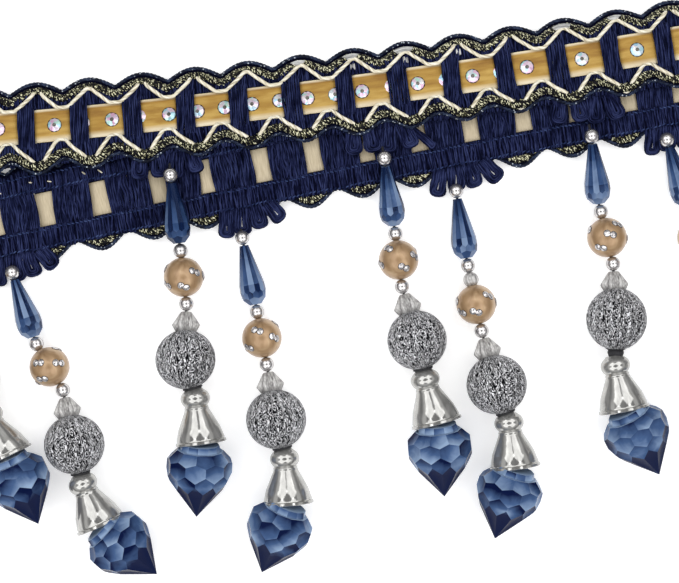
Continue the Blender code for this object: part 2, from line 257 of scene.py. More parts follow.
def closed_strip(grid, turned=None):
    """Rings (n, k, 3) of the flat band as a part, its uv in mm along and across. turned reorders quads' corners."""
    quads, caps = ring_faces(*grid.shape[:2])
    if turned:
        quads, caps = quads[:, turned], caps[:, ::-1]
    points = grid.reshape(-1, 3)
    return points, [quads, caps], [points[quads][..., :2], points[caps][..., :2]]


def tubes(paths, radius, sides, squash=1.0, ridges=0, ridge=0.0, twist=0.0):
    """Tubes along paths (m, n, 3) as a part, its uv in mm along and in turns around. Ridges twist by radians a mm."""
    paths = np.asarray(paths, float)
    m, n, _ = paths.shape
    tangent = unit(np.gradient(paths, axis=1))
    side = unit(np.cross(tangent, UP))
    up = np.cross(side, tangent)
    along = np.pad(np.cumsum(np.linalg.norm(np.diff(paths, axis=1), axis=2), axis=1), ((0, 0), (1, 0)))
    angle = TAU * np.arange(sides) / sides
    r = np.broadcast_to(np.asarray(radius, float), (m, n))[:, :, None]
    r = r * (1 + ridge * np.cos(ridges * angle + twist * along[:, :, None]))
    points = (
        paths[:, :, None]
        + (r * np.cos(angle))[..., None] * side[:, :, None]
        + (r * np.sin(angle) * squash)[..., None] * up[:, :, None]
    )
    along = along + rng.uniform(0, 400, (m, 1))
    quads, caps = ring_faces(n, sides)
    first = n * sides * np.arange(m)[:, None]
    quads = (first[:, :, None] + quads).reshape(-1, 4)
    caps = np.concatenate([first + caps[0], first + caps[1]])
    a0, a1 = along[:, :-1, None], along[:, 1:, None]
    v0 = np.arange(sides) / sides
    v1 = v0 + 1 / sides
    uv = np.stack([columns(a, v) for a, v in ((a0, v0), (a0, v1), (a1, v1), (a1, v0))], axis=-2)
    return points.reshape(-1, 3), [quads, caps], [uv.reshape(-1, 4, 2), np.zeros((2 * m, sides, 2))]


def joined(parts):
    """Several parts (points, faces, uv) as one."""
    points, faces, uv = zip(*parts)
    starts = np.cumsum([0, *map(len, points)])
    return np.concatenate(points), [f + n for some, n in zip(faces, starts) for f in some], sum(uv, [])


def through(points, steps):
    """The line through these points, read at steps counted in points."""
    points = np.array(points)
    return columns(*(np.interp(steps, np.arange(len(points)), points[:, i]) for i in range(3)))


def keep(piece, slot, *nodes):
    """The piece rides on the one body and stands for these nodes."""
    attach(piece, "root")
    if nodes:
        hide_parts(*nodes)
    return piece


def band_piece(name, surfaces, *parts, slot="navy_yarn", nodes=(), **more):
    """Parts of the flat band, laid out as one object."""
    points, faces, uv = joined(parts)
    return keep(make_object(name, place(points), faces, surfaces, uv, **more), slot, *nodes)


# ---- materials


class Nodes:
    """Adds nodes to a tree. An input takes a value or another node's output."""

    def __init__(self, tree):
        self.tree = tree

    def plug(self, socket, value):
        if isinstance(value, bpy.types.NodeSocket):
            self.tree.links.new(value, socket)
        else:
            socket.default_value = value

    def add(self, kind, inputs=None, **settings):
        made = self.tree.nodes.new("ShaderNode" + kind)
        for key, value in settings.items():
            setattr(made, key, value)
        for key, value in (inputs or {}).items():
            self.plug(made.inputs[key], value)
        return made

    def ramp(self, factor, *stops):
        """Colours, or greys, at their positions."""
        made = self.add("ValToRGB", {"Fac": factor})
        elements = made.color_ramp.elements
        for i, (position, colour) in enumerate(stops):
            stop = elements[i] if i < 2 else elements.new(position)
            stop.position = position
            stop.color = (*colour, 1.0) if isinstance(colour, tuple) else (colour, colour, colour, 1.0)
        return made.outputs["Color"]

    def source(self, kind):
        return self.add("TexCoord").outputs[kind]

    def scaled(self, vector, scale):
        return self.add("Mapping", {"Vector": vector, "Scale": scale}).outputs["Vector"]

    def in_mm(self, along=1000):
        return self.scaled(self.source("Object"), (1000, 1000, along))

    def split(self, vector):
        parts = self.add("SeparateXYZ", {"Vector": vector})
        return [parts.outputs[axis] for axis in "XYZ"]

    def vector(self, **parts):
        return self.add("CombineXYZ", parts).outputs[0]

    def maths(self, operation, a, b=0.0, c=0.0):
        return self.add("Math", {0: a, 1: b, 2: c}, operation=operation).outputs[0]

    def times(self, a, b, plus=None):
        """a * b, or a * b + plus."""
        return self.maths("MULTIPLY", a, b) if plus is None else self.maths("MULTIPLY_ADD", a, b, plus)

    def noise(self, vector, scale, detail=3.0, rough=0.55, distortion=0.0):
        inputs = {"Vector": vector, "Scale": scale, "Detail": detail, "Roughness": rough, "Distortion": distortion}
        return self.add("TexNoise", inputs).outputs["Fac"]

    def cells(self, vector, scale, spread=1.0):
        return self.add("TexVoronoi", {"Vector": vector, "Scale": scale, "Randomness": spread}).outputs

    def red(self, colour):
        return self.add("SeparateColor", {"Color": colour}).outputs["Red"]

    def mix(self, factor, a, b):
        return self.add("Mix", {"Factor": factor, "A": a, "B": b}, data_type="RGBA").outputs["Result"]


class Look(Nodes):
    """A material on one Principled shader."""

    def __init__(self, name, **sockets):
        self.made = bpy.data.materials.new(name)
        self.made.use_nodes = True
        super().__init__(self.made.node_tree)
        self.shader = self.tree.nodes["Principled BSDF"]
        self.set(**sockets)

    def set(self, **sockets):
        for key, value in sockets.items():
            self.plug(self.shader.inputs[key.replace("_", " ")], value)

    def bump(self, height, strength, distance):
        made = self.add("Bump", {"Height": height, "Strength": strength, "Distance": distance * MM})
        self.set(Normal=made.outputs["Normal"])


def yarn_material(name, dark, mid, light, rough=0.8, turns=2.0, streak=7.0, twist=0.05, shine=0.03, glint_specks=None):
    """Soft twisted yarn: filaments that run along a tube and turn slowly, by its uv."""
    look = Look(name, Roughness=rough, Specular_IOR_Level=shine)
    along, around, _ = look.split(look.source("UV"))
    turned = look.times(along, twist, around)
    lay = look.vector(X=look.times(along, 0.32), Y=look.times(turned, streak))
    fibres = look.noise(lay, 1.0, detail=4.0, rough=0.65)
    plies = look.maths("SINE", look.times(turned, TAU * turns))
    broad = look.noise(look.in_mm(), 0.35, detail=2.0)
    value = look.times(broad, 0.35, look.times(plies, 0.1, fibres))
    colour = look.ramp(value, (0.5, dark), (0.66, mid), (0.86, light))
    # Painted glints: pale specks that stand for the sparkle of metallic thread in the cord.
    if glint_specks:
        dots = look.cells(look.in_mm(), 1.1)["Distance"]
        colour = look.mix(look.ramp(dots, (0.16, 1), (0.24, 0)), colour, (*glint_specks, 1.0))
    look.set(Base_Color=colour)
    look.bump(value, 0.7, 0.25)
    return look.made


def velvet_material():
    """Gold pile between light satin edges."""
    sheen = {"Sheen_Weight": 0.12, "Sheen_Roughness": 0.45, "Sheen_Tint": (1.0, 0.86, 0.55, 1.0)}
    look = Look("gold_velvet", Roughness=0.7, **sheen)
    along, across, _ = look.split(look.source("UV"))
    streaks = look.noise(look.vector(X=look.times(along, 0.1), Y=look.times(across, 0.55)), 1.1, rough=0.5)
    pile = look.noise(look.in_mm(), 6.0, detail=2.0)
    mixed = look.times(across, -0.035, look.times(pile, 0.16, look.maths("ADD", streaks, 0.05)))
    gold = look.ramp(
        mixed, (0.4, (0.25, 0.122, 0.014)), (0.6, (0.36, 0.202, 0.03)), (0.8, (0.48, 0.305, 0.07))
    )
    place_across = look.times(across, 1 / 10, 0.5)
    wobble = look.times(look.maths("SUBTRACT", streaks, 0.5), 0.03, place_across)
    on_edge = look.ramp(wobble, (0.135, 1), (0.25, 0), (0.84, 0), (0.895, 1))
    edging = look.ramp(streaks, (0.3, (0.56, 0.46, 0.29)), (0.7, (0.74, 0.65, 0.47)))
    look.set(Base_Color=look.mix(on_edge, gold, edging))
    look.bump(mixed, 0.35, 0.15)
    return look.made


def metallic_cord_material():
    """Dark cord knitted with pale gold lurex in short slanting stitches."""
    look = Look("metallic_cord", Roughness=0.4, Specular_IOR_Level=0.12)
    along, around, _ = look.split(look.source("UV"))
    slant = look.times(around, 3.2, along)
    lay = look.vector(X=look.times(slant, 3.9), Y=look.times(around, 11.0))
    stitch = look.cells(lay, 1.0, spread=0.8)
    solid = look.maths("SUBTRACT", 0.75, stitch["Distance"])
    value = look.times(look.red(stitch["Color"]), 0.45, solid)
    black, brown = (0.002, 0.002, 0.004), (0.03, 0.028, 0.012)
    lurex, glint = (0.34, 0.325, 0.17), (0.92, 0.9, 0.64)
    look.set(Base_Color=look.ramp(value, (0.5, black), (0.58, brown), (0.66, lurex), (0.78, glint)))
    look.set(Metallic=look.ramp(value, (0.5, 0), (0.66, 0.3)))
    look.bump(value, 0.6, 0.3)
    return look.made


def acrylic_material(name, deep, mid, light, clear, shine, edging, tip):
    """Cut acrylic with painted shade: each facet has its tone (u) and pales along v; it darkens between tip's two
    heights.
    """
    look = Look(name, Transmission_Weight=clear, IOR=1.49, Specular_IOR_Level=shine)
    look.set(Specular_Tint=(0.22, 0.28, 0.4, 1.0))
    # Painted shade: a facet's tone stands for the light it refracts, and edging sets how far v grades it lighter
    # across the facet.
    tone, down, _ = look.split(look.source("UV"))
    lay = look.in_mm()
    cloud = look.noise(lay, 0.3, detail=2.0, distortion=0.8)
    value = look.times(look.maths("SUBTRACT", cloud, 0.5), 0.5, tone)
    value = look.times(look.maths("SUBTRACT", down, 0.5), edging, value)
    # Painted shade: darker between tip's two heights.
    limits = {"From Min": tip[0], "From Max": tip[1], "To Min": 0.0, "To Max": 0.8}
    painted_tip_shade = look.add("MapRange", {"Value": look.split(lay)[2], **limits}).outputs["Result"]
    value = look.maths("SUBTRACT", value, painted_tip_shade)
    look.set(Base_Color=look.ramp(value, (0.05, deep), (0.5, mid), (1.0, light)))
    look.set(Roughness=look.ramp(look.noise(lay, 1.2), (0.35, 0.02), (0.8, 0.09)))
    return look.made


def glitter_material():
    """Silver over black: bright wriggling ridges, in rows that narrow toward the holes."""
    look = Look("silver_glitter", Metallic=0.3, Roughness=0.42, Specular_IOR_Level=0.1)
    look.set(Specular_Tint=(0.3, 0.3, 0.32, 1.0))
    x, y, height = look.split(look.in_mm(along=450))
    outward = look.add("VectorMath", {0: look.vector(X=x, Y=y)}, operation="NORMALIZE").outputs[0]
    factors = {0: outward, 1: (BALL_R, BALL_R, BALL_R), 2: look.vector(Z=height)}
    lay = look.add("VectorMath", factors, operation="MULTIPLY_ADD").outputs[0]
    rows = look.maths("COSINE", look.times(look.maths("ARCTAN2", y, x), 20.0))
    maze = look.maths("SINE", look.times(look.noise(lay, 2.0, detail=0.5, rough=0.5, distortion=0.5), 26.0))
    grains = look.maths("SUBTRACT", look.noise(lay, 3.8, detail=2.0), 0.5)
    value = look.times(rows, 0.24, look.times(grains, 1.2, maze))
    value = look.times(value, 0.54, 0.43)
    black, grey, silver = (0.005, 0.005, 0.006), (0.085, 0.085, 0.09), (0.93, 0.93, 0.96)
    look.set(Base_Color=look.ramp(value, (0.18, black), (0.48, grey), (0.82, silver)))
    look.bump(value, 0.8, 0.4)
    return look.made


def stone_material():
    """Foil-backed stones with a rainbow coat, their tints random."""
    look = Look("rainbow_stone", Metallic=0.45, Roughness=0.25, Coat_Weight=0.5, Coat_Roughness=0.03)
    tone = look.red(look.cells(look.in_mm(), 0.9)["Color"])
    ice, pink, white, sky, mint = (
        (0.7, 0.72, 0.78), (0.74, 0.44, 0.64), (0.78, 0.78, 0.76), (0.34, 0.58, 0.76), (0.5, 0.76, 0.64)
    )
    look.set(Base_Color=look.ramp(tone, (0.0, ice), (0.25, pink), (0.5, white), (0.75, sky), (1.0, mint)))
    return look.made


def mottled(
    name, scale, *stops, kind="Object", size=(1000, 1000, 1000), detail=3.0, rough=0.55, warp=0.0, bump=None,
    hazy=None, **sockets,
):
    """Noise between colour stops. bump is its strength and depth in mm; hazy, the ends of its roughness."""
    look = Look(name, **sockets)
    grain = look.noise(look.scaled(look.source(kind), size), scale, detail, rough, warp)
    look.set(Base_Color=look.ramp(grain, *stops))
    if hazy:
        look.set(Roughness=look.ramp(grain, (0.3, hazy[0]), (0.8, hazy[1])))
    if bump:
        look.bump(grain, *bump)
    return look.made


navy_yarn = yarn_material("navy_yarn", (0.0011, 0.0018, 0.008), (0.0085, 0.0115, 0.044), (0.032, 0.042, 0.115))
# The edge cord's pale specks are painted glints of its metallic thread.
navy_cord = yarn_material(
    "navy_edge_cord", (0.002, 0.003, 0.009), (0.006, 0.01, 0.028), (0.03, 0.045, 0.09),
    rough=0.5, turns=1.0, streak=6.0, twist=0.16, shine=0.12, glint_specks=(0.45, 0.5, 0.56),
)
stitch_yarn = yarn_material(
    "chain_stitch_yarn", (0.006, 0.01, 0.035), (0.02, 0.032, 0.1), (0.06, 0.09, 0.21), turns=1.0
)
satin_thread = yarn_material(
    "white_satin_thread", (0.2, 0.2, 0.2), (0.42, 0.42, 0.41), (0.7, 0.7, 0.69), rough=0.4, turns=1.0, shine=0.3
)
cream_cord = yarn_material(
    "cream_cord", (0.48, 0.42, 0.29), (0.76, 0.7, 0.54), (0.9, 0.87, 0.75),
    rough=0.6, turns=3.0, twist=0.16, shine=0.3,
)
ground_cloth = mottled(
    "navy_ground_cloth", 2.2, (0.4, (0.0012, 0.0015, 0.006)), (0.75, (0.005, 0.006, 0.026)),
    kind="UV", size=(1.6, 0.45, 1), detail=4.0, bump=(0.8, 0.3), Roughness=0.9, Specular_IOR_Level=0.02,
)
gold_velvet = velvet_material()
ribbon_back = mottled(
    "cream_ribbon_back", 1.4, (0.3, (0.42, 0.345, 0.225)), (0.7, (0.57, 0.485, 0.335)),
    kind="UV", size=(2.2, 0.25, 1), bump=(0.3, 0.1), Roughness=0.55, Sheen_Weight=0.2,
)
metallic_cord = metallic_cord_material()
acrylic = acrylic_material(
    "sapphire_acrylic", (0.006, 0.017, 0.066), (0.052, 0.105, 0.25), (0.27, 0.38, 0.59),
    clear=0.4, shine=0.1, edging=0.35, tip=(6.0, -5.0),
)
crystal = acrylic_material(
    "crystal_drop_acrylic", (0.004, 0.009, 0.046), (0.058, 0.108, 0.235), (0.29, 0.4, 0.58),
    clear=0.1, shine=0.015, edging=0.95, tip=(9.5, 13.5),
)
plating = {"size": (1000, 1000, 60), "detail": 4.0, "rough": 0.6, "bump": (0.12, 0.2)}
chrome = mottled(
    "plated_chrome", 0.9, (0.36, (0.36, 0.355, 0.342)), (0.5, (0.42, 0.416, 0.4)), (0.62, (0.47, 0.465, 0.447)),
    hazy=(0.1215, 0.072), Metallic=0.7, Specular_Tint=(1.0, 1.0, 1.0, 1.0), **plating,
)
silver = mottled(
    "silver_bead_plating", 0.9, (0.36, (0.46, 0.44, 0.445)), (0.5, (0.6, 0.58, 0.58)),
    (0.62, (0.7, 0.69, 0.685)), hazy=(0.27, 0.16), Metallic=0.9, Specular_Tint=(0.3, 0.3, 0.3, 1.0), **plating,
)
satin = mottled(
    "satin_bronze_bead", 0.28, (0.3, (0.28, 0.168, 0.08)), (0.55, (0.4, 0.256, 0.134)), (0.8, (0.54, 0.4, 0.245)),
    size=(1000, 1000, 420), warp=1.2, Roughness=0.34, Metallic=0.3, Coat_Weight=0.35, Coat_Roughness=0.22,
)
glitter = glitter_material()
frosted = mottled(
    "frosted_smoke_plastic", 1.4, (0.35, (0.2, 0.19, 0.19)), (0.5, (0.42, 0.41, 0.4)), (0.65, (0.66, 0.65, 0.64)),
    size=(1000, 1000, 260), detail=4.0, bump=(0.4, 0.2), Roughness=0.3, Metallic=0.25,
)
thread = mottled(
    "black_thread", 3.0, (0.3, (0.004, 0.004, 0.006)), (0.8, (0.03, 0.03, 0.035)), bump=(0.6, 0.2), Roughness=0.7
)
stone_seat = mottled(
    "stone_seat", 1.6, (0.3, (0.012, 0.01, 0.012)), (0.7, (0.05, 0.045, 0.05)), Metallic=0.5, Roughness=0.5
)
stone_table = mottled(
    "stone_table", 1.6, (0.3, (0.05, 0.05, 0.045)), (0.7, (0.18, 0.17, 0.15)), Metallic=0.5, Roughness=0.25
)
# What a stone's seat, bevels and table take.
STONE_LOOKS = [stone_seat, stone_material(), stone_table]
BEAD_STONE_LOOKS = [stone_seat, silver, silver]


# ---- the woven ground

MARGIN_ROOT = INNER_WALL + 0.1
YARN_FROM = 4.35  # where the margins' own yarns begin
YARN_R = 0.31


def margin_bodies():
    """The cloth of both margins under the yarns."""
    stations = np.arange(START_S, END_S + 0.01, 0.8)
    stations[-1] = END_S
    parts = []
    for side in (1, -1):
        reach = rim(stations, side) - 0.55 - MARGIN_ROOT
        # This margin thins toward its rim on side -1, so that the metallic cord shows from behind it there.
        under, midway = (1.2, 1.04) if side < 0 else (0.72, 0.62)
        # The section: share of the way out to the rim, and height.
        section = ((0, 0.55), (0, 2.15), (0.35, 2.0), (1, 1.7), (1, under), (0.8, midway), (0.5, 0.55))
        rows = [columns(stations, side * (MARGIN_ROOT + reach * share), t) for share, t in section]
        parts.append(closed_strip(np.stack(rows, axis=1), [3, 2, 1, 0] if side < 0 else None))
    return band_piece("margin_cloth", ground_cloth, *parts, nodes=["braid_ground"])


def backing_strip():
    """The plain strip on the lower margin's reverse that the tufts hang from."""
    s = np.arange(START_S + 0.2, END_S - 0.2, 1.0)
    root, end = INNER_WALL + 0.4, strip_end(s) - 0.15
    section = ((root, 0.25), (end, 0.25), (end + 0.1, 0.55), (end, 0.9), (root, 0.9))
    grid = np.stack([columns(s, -w, t) for w, t in section], axis=1)
    return band_piece("backing_strip", ground_cloth, closed_strip(grid, [0, 3, 2, 1]))


# Bars that are off the even pitch, and how far.
UNEVEN_BARS = {27: 0.9, 26: 1.2, 25: 1.5, 24: 1.0, 23: -0.7, 22: 0.6, 21: -0.3}
# Half of what the wide bars leave open at a bar, and where less.
WINDOW_HALF = 2.15
NARROW_WINDOWS = {22: 1.65, 19: 1.9}


def bar_at(k):
    return bar_s(k) + UNEVEN_BARS.get(k, 0.0)


def wandering(w, height, slow, fast):
    """A wave along w, its pitch between slow and fast."""
    return height * np.sin(w * rng.uniform(slow, fast) + rng.uniform(0, 6))


def narrow_bar_yarns():
    """Strands over the ribbon on the face, in two layers, bunched and a little askew."""
    strands, spacing, under_spacing = 8, 0.53, 0.52
    half = np.array([0.0, 1.4, 2.8, 4.1, 4.6, 5.1, 5.6])
    end = half[-1]
    w = np.concatenate([half[::-1], -half[1:]])
    w_under = np.array([end, 4.9, 4.3, 0.0, -4.3, -4.9, -end])
    dip, dip_under = (smooth((np.abs(x) - 4.3) / 1.3) for x in (w, w_under))
    top, under = [], []
    for k in BARS:
        lean, width, waist = stray(0.15), rng.uniform(1.02, 1.24), rng.normal(0.02, 0.05)
        steps = (np.arange(strands) - (strands - 1) / 2) * width
        for step in steps:
            offset = step * spacing
            belly = 1 - waist * np.cos(np.pi * w / 11)
            wander = wandering(w, stray(0.07), 0.4, 1.0)
            s = bar_at(k) + offset * belly - lean * w / end + wander + stray(0.05) * w / 5
            arch = 0.16 * (1 - (offset / 2.4) ** 2)
            top.append(columns(s, w, 2.72 - 0.62 * dip + arch + stray(0.1)))
        for step in steps:
            s = bar_at(k) + step * under_spacing - lean * w_under / end
            under.append(columns(s, w_under, 2.38 - 0.4 * dip_under))
    parts = tubes(top, 0.29, 6, squash=0.9), tubes(under, 0.28, 4)
    return band_piece("narrow_bar_yarns", navy_yarn, *parts)


def wide_bar_yarns():
    """Strands over the ribbon on the reverse, in two layers, slanting and bulging."""
    strands, under_strands, end = 17, 15, 5.3
    w, w_under = np.linspace(end, -end, 10), np.linspace(end, -end, 4)
    top, under = [], []
    for k in range(FIRST_BAR - 1, LAST_BAR + 1):
        lean, bulge = stray(0.2), rng.uniform(0.01, 0.09)
        near = bar_at(k) + NARROW_WINDOWS.get(k, WINDOW_HALF) + 0.33
        far = bar_at(k + 1) - NARROW_WINDOWS.get(k + 1, WINDOW_HALF) - 0.33
        middle, half = (near + far) / 2, (far - near) / 2
        for share in np.linspace(-1, 1, strands):
            belly = 1 + bulge * np.cos(np.pi * w / 10)
            free = 1 - abs(share) ** 3
            wander = wandering(w, stray(0.04 + 0.22 * free), 0.4, 1.2)
            s = middle + share * half * belly - lean * w / end + wander
            t = 0.48 + 0.12 * smooth((np.abs(w) - 4.2) / 1.1) + wandering(w, 0.14, 0.3, 0.9)
            top.append(columns(s, w, np.maximum(t, 0.32)))
        for share in np.linspace(-1, 1, under_strands):
            s = middle + share * (half - 0.3) - lean * w_under / end
            under.append(columns(s, w_under, 0.78))
    top, under = (
        [p for p in paths if START_S + 0.5 < p[:, 0].min() and p[:, 0].max() < END_S - 0.5] for paths in (top, under)
    )
    parts = tubes(top, YARN_R, 6, squash=0.95), tubes(under, 0.33, 4)
    return band_piece("wide_bar_yarns", navy_yarn, *parts)


def margin_yarns(name, face):
    """Short yarns side by side across each margin, on the face or on the reverse."""
    paths, strip_paths = [], []
    for side in (1, -1):
        on_strip = side < 0 and not face
        for s0 in np.arange(START_S + 0.5, END_S - 0.4, 0.54):
            if on_strip:
                end = float(strip_end(s0)) + stray(0.12)
            else:
                end = float(rim(s0, side)) - (2.5 if face else 1.5)
            w = np.linspace(YARN_FROM, end, 5)
            out = w - YARN_FROM
            phase = from_bar(s0)
            on_bar = face and abs(phase) < BAR_HALF + 0.4
            fan = (0.16 * phase if on_bar else 0.0) * smooth(out / 4)
            s = s0 + fan + stray(0.09) + stray(0.16) * out / 4
            s = s + wandering(w, stray(0.11), 0.7, 1.6)
            if face:
                t = (2.42 if on_bar else 2.12) - 0.1 * out + stray(0.12) + 0.08 * np.sin(w * 2.3 + s0)
            else:
                rise = 0.06 if side > 0 else 0.0
                t = 0.36 + rise * out + stray(0.05) + 0.07 * np.sin(w * 2.6 + s0)
            s = np.clip(s, START_S, END_S)
            paths.append(columns(s, side * w, t))
            if on_strip:
                strip_paths.append(columns(s[[0, -1]], side * np.array([8.0, end]), 0.98 + stray(0.07)))
    parts = [tubes(paths, YARN_R, 5)]
    if strip_paths:
        parts.append(tubes(strip_paths, YARN_R, 4))
    return band_piece(name, navy_yarn, *parts)


def chain_stitches():
    """Two rows of chain stitch along each margin of the reverse."""
    parts = []
    for side in (1, -1):
        for row, lean in ((5.0, -0.16), (8.7 if side > 0 else 9.3, 0.16)):
            paths = []
            for s0 in np.arange(START_S + 1, END_S - 1.5, 1.05):
                w = row + (0.12 * sin(s0 * 0.5) + stray(0.06)) + lean * np.linspace(-1, 1, 4)
                t = -0.06 + 0.34 * np.array([1.0, 0.05, 0.05, 1.0])
                paths.append(columns(s0 + np.linspace(0, 0.72, 4), side * w, t))
            points, faces, uv = tubes(paths, 0.19, 5)
            parts.append((np.maximum(points, (-np.inf, -np.inf, 0.0)), faces, uv))
    return band_piece("chain_stitches", stitch_yarn, *parts)


def edge_cords():
    """Two plies twisted together along each scalloped edge."""
    lay, ply_off, height = 2.0, 0.17, 1.35
    parts = []
    for side in (1, -1):
        s = np.arange(START_S + 0.1, END_S - 0.1, 0.33)
        w = rim(s, side) - (0.22 if side > 0 else 0.38)
        for ply in (0, pi):
            turn = run_length(s, w) * TAU / lay + ply
            path = columns(s, side * (w + ply_off * np.cos(turn)), height + ply_off * np.sin(turn))
            parts.append(tubes([path], 0.38, 6))
    return band_piece("edge_cords", navy_cord, *parts)


CORD_SOFT = 0.3  # how much rounder than the rim the metallic cord waves


def metallic_cords():
    """The thick knitted cord that waves inside each edge."""
    sides, diamond = 11, 1.1
    parts = []
    for side in (1, -1):
        s = np.arange(START_S + 0.1, END_S - 0.1, 0.28)
        inset = 2.02 if side > 0 else 2.15
        w = rim(s, side, CORD_SOFT) - inset
        fullness = np.clip((w + inset - VALLEY_EDGE - slack(s, side)) / (PEAK_EDGE - VALLEY_EDGE), 0, 1)
        radius = 0.98 + (0.22 if side < 0 else -0.1) * fullness
        path = columns(s, side * w, 1.75)
        points, faces, uv = tubes([path], radius[None], sides, squash=0.9)
        along = run_length(s, w)[:, None] * TAU / diamond
        angle = TAU * np.arange(sides) / sides
        swell = 0.08 * np.maximum(np.sin(along + 3 * angle), np.sin(along - 3 * angle))
        swell = swell + 0.05 * rng.normal(size=swell.shape)
        centre = path[:, None, :]
        rings = centre + (points.reshape(len(s), sides, 3) - centre) * (1 + swell)[..., None]
        parts.append((rings.reshape(-1, 3), faces, uv))
    return band_piece("metallic_cords", metallic_cord, *parts, slot="metallic_cord")


def back_stitches():
    """Where the cream cord shows for a stitch or two on the reverse of side 1."""
    run = np.linspace(-0.5, 0.5, 6)
    paths = []
    for k in BARS:
        for offset, w, length in ((-1.9, 6.3, 0.9), (2.2, 7.0, 0.6)):
            if rng.uniform() < 0.75:
                s = bar_at(k) + offset + stray(0.5) + run * length
                rise = w + stray(0.3) + run * length * rng.uniform(0.3, 1.4)
                paths.append(columns(s, rise, 0.3 - 0.22 * np.cos(np.pi * run)))
    return band_piece("back_stitches", cream_cord, tubes(paths, 0.17, 6), slot="cream_cord")


# Where white satin threads lie open: at these bars' peaks, with half their length, and in a slot below these peaks.
SATIN_PEAKS = {0: 2.2, 1: 2.5, 2: 3.2, 5: 3.2, 6: 2.2}
SATIN_SLOTS = (1, 2, 3)


def satin_floats():
    """White satin threads that float along the metallic cord or lie sunk below it."""
    threads, run = 4, np.linspace(-1, 1, 11)
    paths = []
    for k, half in SATIN_PEAKS.items():
        for i in range(threads):
            s = bar_s(k) + TOP_PEAK - 0.3 + run * (half - 0.45 * i)
            w = rim(s, 1, CORD_SOFT) - 1.45 - 0.3 * i + stray(0.03)
            paths.append(columns(s, w, 2.5 + 0.16 * min(i, 2) - 0.7 * run**4))
    for k in SATIN_SLOTS:
        for i in range(threads):
            w = 6.4 + 0.75 * run + stray(0.1)
            paths.append(columns(bar_s(k) + TOP_PEAK - 0.6 + 0.3 * i, w, 2.3 - 0.4 * run**4))
    return band_piece("satin_floats", satin_thread, tubes(paths, 0.19, 7), slot="cream_cord")


# One zigzag of the cream cord on each margin: mm along from the peak, mm out from the ribbon's centre, height.
ZIGZAG_ABOVE = (
    (-5.9, 4.25, 2.8), (-5.4, 4.35, 2.74), (-4.5, 5.1, 2.66), (-3.2, 6.15, 2.64), (-2.0, 7.1, 2.62),
    (-1.3, 7.7, 2.6), (-0.7, 8.1, 2.5), (0.0, 8.3, 2.5), (0.7, 8.1, 2.5), (1.3, 7.65, 2.6), (2.0, 7.0, 2.62),
    (3.0, 6.15, 2.64), (4.1, 5.2, 2.66), (5.0, 4.35, 2.74), (5.5, 4.25, 2.8), (6.5, 4.22, 2.82),
)
ZIGZAG_BELOW = (
    (-6.3, 3.9, 1.9), (-5.8, 4.3, 2.3), (-5.3, 4.9, 2.62), (-4.3, 5.9, 2.66), (-3.0, 6.8, 2.66), (-1.7, 7.7, 2.5),
    (-0.9, 8.5, 2.0), (-0.4, 9.2, 1.75), (0.3, 9.72, 1.75), (1.0, 9.2, 1.75), (1.4, 8.5, 2.0), (1.9, 7.7, 2.5),
    (2.7, 6.7, 2.66), (3.7, 5.7, 2.66), (4.4, 4.8, 2.62), (4.9, 4.3, 2.3), (5.4, 3.9, 1.9),
)


def zigzag_cords():
    """The cream cord on the face, from the ribbon's edge out under the metallic cord to a small arc beyond it."""
    parts = []
    for side, shape, peak, cord_at in ((1, ZIGZAG_ABOVE, TOP_PEAK, 7.6), (-1, ZIGZAG_BELOW, LOW_PEAK, 8.6)):
        knots = []
        for k in range(FIRST_BAR - 1, LAST_BAR + 1):
            skew = stray(0.18)
            out = rng.uniform(-0.45, 0.55) if side < 0 else rng.choice([0.15, 0.75])
            sunk = 0.75 * (out - 0.15) / 0.6 if side > 0 else 0.0
            for ds, w, t in shape:
                s = bar_s(k) + peak + ds + skew * (w - 4) / 5
                beyond = float(smooth((w - cord_at) / 0.6))
                far = w + out * beyond + float(slack(s, side)) * (w - 4.2) / 5.4
                knots.append((s, far + stray(0.04), t - sunk * beyond))
        knots = [p for p in knots if START_S < p[0] < END_S]
        path = through(knots, np.arange(0, len(knots) - 1, 0.4))
        for _ in range(2):
            path[1:-1] = (path[:-2] + 2 * path[1:-1] + path[2:]) / 4
        path[:, 1] *= side
        parts.append(tubes([path], 0.47, 9, ridges=3, ridge=0.05, twist=4.0))
    return band_piece("zigzag_cords", cream_cord, *parts, slot="cream_cord")


# ---- the ribbon and its stones

RIBBON_THICK = 0.42


def ribbon_level(s):
    """The ribbon's middle: up over the wide bars, down under the narrow ones."""
    return 1.42 + 0.55 * smooth((np.abs(from_bar(s)) - 1.6) / 1.8)


def ribbon_piece():
    """A strip with a slight crown and curling edges, velvet on its face and satin on its back."""
    s = np.arange(START_S + 0.1, END_S - 0.05, 0.6)[:, None]
    across = np.array([-RIBBON_HALF, -4.05, -3.3, -2.0, 0.0, 2.0, 3.4, 4.05, RIBBON_HALF])
    crown = 0.08 * (1 - (across / RIBBON_HALF) ** 2)
    curl = 0.04 * np.sin(s * 0.47 + across * 0.2) * (np.abs(across) > 3)
    middle = ribbon_level(s) + crown + curl
    top, low = (columns(s, across, middle + off) for off in (RIBBON_THICK / 2, -RIBBON_THICK / 2))
    grid = np.concatenate([top, low[:, ::-1]], axis=1)
    on_back = np.tile(np.arange(grid.shape[1]) >= len(across) - 1, len(s) - 1)
    more = {"slot": "gold_velvet", "nodes": ["velvet_ribbon"], "indices": np.append(on_back, [1, 1])}
    return band_piece("woven_ribbon", [gold_velvet, ribbon_back], closed_strip(grid, [0, 3, 2, 1]), **more)


STONE_SIDES = 10
# A stone's rings from girdle to table: share of its radius, share of its height, and mm below.
STONE_RINGS = ((1.13, 0.0, -0.05), (1.0, 0.18, 0.0), (0.9, 0.42, 0.0), (0.3, 1.0, 0.0))


